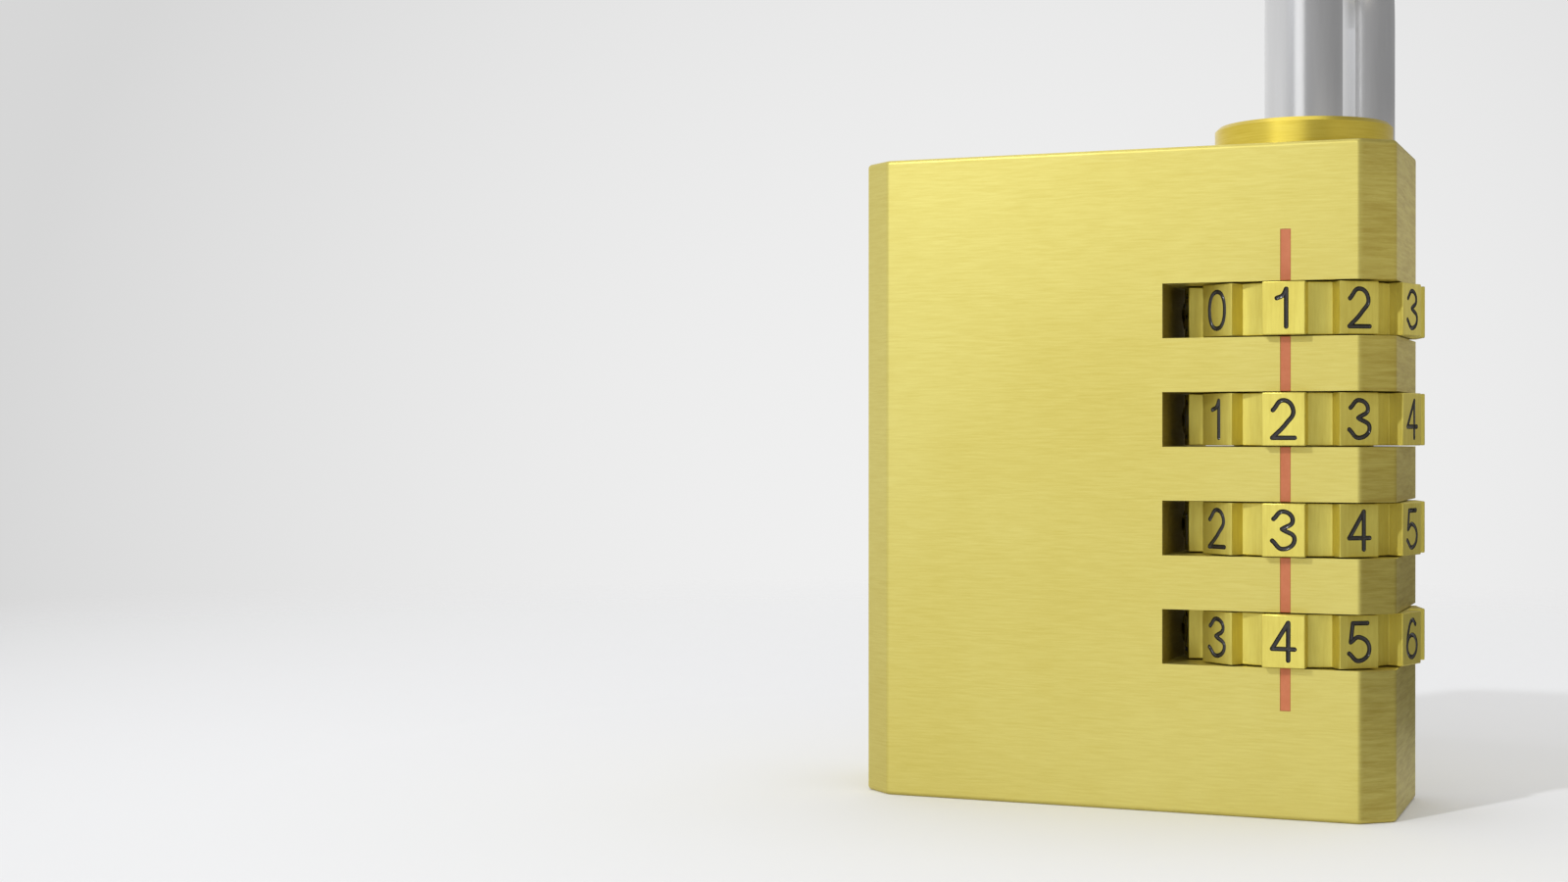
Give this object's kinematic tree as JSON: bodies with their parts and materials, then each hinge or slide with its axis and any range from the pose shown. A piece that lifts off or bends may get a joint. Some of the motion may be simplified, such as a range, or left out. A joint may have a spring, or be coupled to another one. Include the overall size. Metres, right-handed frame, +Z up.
{
  "type": "combination padlock",
  "caption": "Solid brass padlock with a round steel shackle on a side-mounted stack of turning number dials, shown open with the shackle swung to the back.",
  "frame": {"origin": "centre of the block's flat bottom face", "axes": "+Z up along the shackle's legs, the number face looks along -Y, the dials show at the +X end; at rest the shackle is raised and its toe leg is swung behind the block, to +Y"},
  "size_m": [0.0412, 0.0384, 0.0783],
  "materials": {
    "brushed_brass": "fine horizontal brushing, satin",
    "turned_brass": "turned, bright satin",
    "dial_brass": "satin, engraved digits",
    "shackle_steel": "polished satin",
    "pin_steel": "ground",
    "spring_steel": "drawn wire",
    "ball_steel": "polished"
  },
  "bodies": {
    "block": {"lock_body": "brushed_brass", "collar": "turned_brass", "collar_pin": "turned_brass", "lift_spring": "spring_steel", "reset_spring": "spring_steel", "click_spring_1": "spring_steel", "click_spring_2": "spring_steel", "click_spring_3": "spring_steel", "click_spring_4": "spring_steel"},
    "thrust_cap": {"spring_cap": "pin_steel"},
    "shackle": {"shackle": "shackle_steel", "push_ring": "spring_steel", "lug_pin_1": "pin_steel", "lug_pin_2": "pin_steel", "lug_pin_3": "pin_steel", "lug_pin_4": "pin_steel"},
    "dial_1": {"dial_1": "dial_brass"},
    "code_sleeve_1": {"sleeve_1": "turned_brass"},
    "click_1": {"click_ball_1": "ball_steel"},
    "dial_2": {"dial_2": "dial_brass"},
    "code_sleeve_2": {"sleeve_2": "turned_brass"},
    "click_2": {"click_ball_2": "ball_steel"},
    "dial_3": {"dial_3": "dial_brass"},
    "code_sleeve_3": {"sleeve_3": "turned_brass"},
    "click_3": {"click_ball_3": "ball_steel"},
    "dial_4": {"dial_4": "dial_brass"},
    "code_sleeve_4": {"sleeve_4": "turned_brass", "reset_washer": "pin_steel"},
    "click_4": {"click_ball_4": "ball_steel"}
  },
  "joints": [
    {"name": "shackle_lift", "type": "slide", "parent": "block", "child": "thrust_cap", "axis": [0, 0, 1], "range_m": [-0.0062, 0], "stiffness_N_per_m": 400, "springref_m": 0.008, "deforming": ["lift_spring"]},
    {"name": "shackle_swivel", "type": "hinge", "parent": "thrust_cap", "child": "shackle", "pos_m": [0.0125, 0, 0.0486], "axis": [0, 0, 1], "range_deg": [-269, 91]},
    {"name": "dial_1_turn", "type": "hinge", "parent": "block", "child": "dial_1", "pos_m": [0.0125, 0, 0.03665], "axis": [0, 0, 1], "continuous": true},
    {"name": "sleeve_1_press", "type": "slide", "parent": "dial_1", "child": "code_sleeve_1", "axis": [0, 0, 1], "range_m": [-0.0032, 0]},
    {"name": "click_1_press", "type": "slide", "parent": "block", "child": "click_1", "axis": [1, 0, 0], "range_m": [0, 0.0003], "stiffness_N_per_m": 150, "springref_m": 0.003, "deforming": ["click_spring_1"]},
    {"name": "dial_2_turn", "type": "hinge", "parent": "block", "child": "dial_2", "pos_m": [0.0125, 0, 0.02872], "axis": [0, 0, 1], "continuous": true},
    {"name": "sleeve_2_press", "type": "slide", "parent": "dial_2", "child": "code_sleeve_2", "axis": [0, 0, 1], "range_m": [-0.0032, 0]},
    {"name": "click_2_press", "type": "slide", "parent": "block", "child": "click_2", "axis": [1, 0, 0], "range_m": [0, 0.0003], "stiffness_N_per_m": 150, "springref_m": 0.003, "deforming": ["click_spring_2"]},
    {"name": "dial_3_turn", "type": "hinge", "parent": "block", "child": "dial_3", "pos_m": [0.0125, 0, 0.02079], "axis": [0, 0, 1], "continuous": true},
    {"name": "sleeve_3_press", "type": "slide", "parent": "dial_3", "child": "code_sleeve_3", "axis": [0, 0, 1], "range_m": [-0.0032, 0]},
    {"name": "click_3_press", "type": "slide", "parent": "block", "child": "click_3", "axis": [1, 0, 0], "range_m": [0, 0.0003], "stiffness_N_per_m": 150, "springref_m": 0.003, "deforming": ["click_spring_3"]},
    {"name": "dial_4_turn", "type": "hinge", "parent": "block", "child": "dial_4", "pos_m": [0.0125, 0, 0.01286], "axis": [0, 0, 1], "continuous": true},
    {"name": "sleeve_4_press", "type": "slide", "parent": "dial_4", "child": "code_sleeve_4", "axis": [0, 0, 1], "range_m": [-0.0032, 0], "stiffness_N_per_m": 300, "springref_m": 0.004, "deforming": ["reset_spring"]},
    {"name": "click_4_press", "type": "slide", "parent": "block", "child": "click_4", "axis": [1, 0, 0], "range_m": [0, 0.0003], "stiffness_N_per_m": 150, "springref_m": 0.003, "deforming": ["click_spring_4"]}
  ],
  "couplings": [
    {"joint": "sleeve_1_press", "follows": "sleeve_4_press", "ratio": 1},
    {"joint": "sleeve_2_press", "follows": "sleeve_4_press", "ratio": 1},
    {"joint": "sleeve_3_press", "follows": "sleeve_4_press", "ratio": 1}
  ]
}
